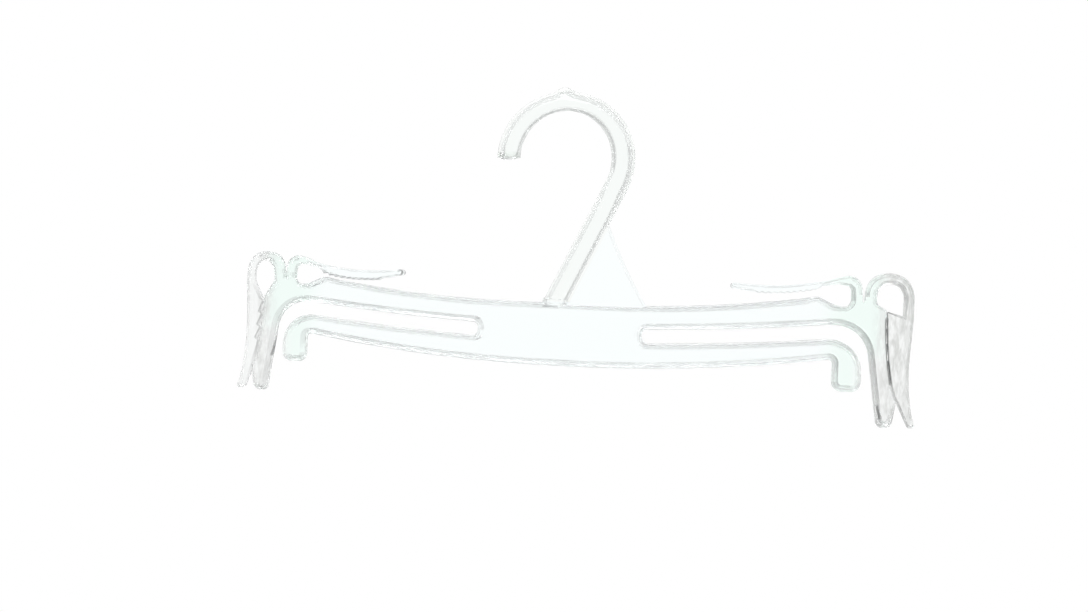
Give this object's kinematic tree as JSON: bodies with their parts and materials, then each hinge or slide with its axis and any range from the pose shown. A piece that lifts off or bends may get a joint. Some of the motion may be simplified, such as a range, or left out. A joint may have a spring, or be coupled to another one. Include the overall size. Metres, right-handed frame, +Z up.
{
  "type": "delicates hanger",
  "caption": "Clear moulded hanger for delicates: thick round hook, curved slotted beam, and sprung toothed clips that loop inwards and outwards at both ends.",
  "frame": {"origin": "the rail seat: the inside of the hook's crown, at the middle of the rod's thickness", "axes": "+Z up, +X along the beam towards the side of the hook's leg, -Y the front"},
  "size_m": [0.28, 0.0086, 0.128],
  "materials": {
    "clear_polystyrene": "clear crystal polystyrene as moulded, polished all over, with a faint cool tint in thick sections"
  },
  "bodies": {
    "frame": {"hook": "clear_polystyrene", "hook_gusset": "clear_polystyrene", "beam": "clear_polystyrene", "left_outer_arm": "clear_polystyrene", "right_outer_arm": "clear_polystyrene", "left_inner_clip_spring": "clear_polystyrene", "left_outer_clip_spring": "clear_polystyrene", "right_inner_clip_spring": "clear_polystyrene", "right_outer_clip_spring": "clear_polystyrene"},
    "left_inner_arm": {"left_inner_clip_arm": "clear_polystyrene"},
    "right_inner_arm": {"right_inner_clip_arm": "clear_polystyrene"},
    "left_outer_jaw": {"left_outer_clip_arm": "clear_polystyrene"},
    "right_outer_jaw": {"right_outer_clip_arm": "clear_polystyrene"}
  },
  "joints": [
    {"name": "left_inner_clip", "type": "hinge", "parent": "frame", "child": "left_inner_arm", "pos_m": [-0.1133, 0, -0.06435], "axis": [0, -1, 0], "range_deg": [0, 10], "stiffness_Nm_per_rad": 2, "deforming": ["left_inner_clip_spring"]},
    {"name": "right_inner_clip", "type": "hinge", "parent": "frame", "child": "right_inner_arm", "pos_m": [0.1133, 0, -0.06435], "axis": [0, 1, 0], "range_deg": [-4, 10], "stiffness_Nm_per_rad": 2, "deforming": ["right_inner_clip_spring"]},
    {"name": "left_outer_clip", "type": "hinge", "parent": "frame", "child": "left_outer_jaw", "pos_m": [-0.1291, 0, -0.0646], "axis": [0, 1, 0], "range_deg": [0, 9], "stiffness_Nm_per_rad": 3.5, "deforming": ["left_outer_clip_spring"]},
    {"name": "right_outer_clip", "type": "hinge", "parent": "frame", "child": "right_outer_jaw", "pos_m": [0.1291, 0, -0.0646], "axis": [0, -1, 0], "range_deg": [0, 9], "stiffness_Nm_per_rad": 3.5, "deforming": ["right_outer_clip_spring"]}
  ]
}
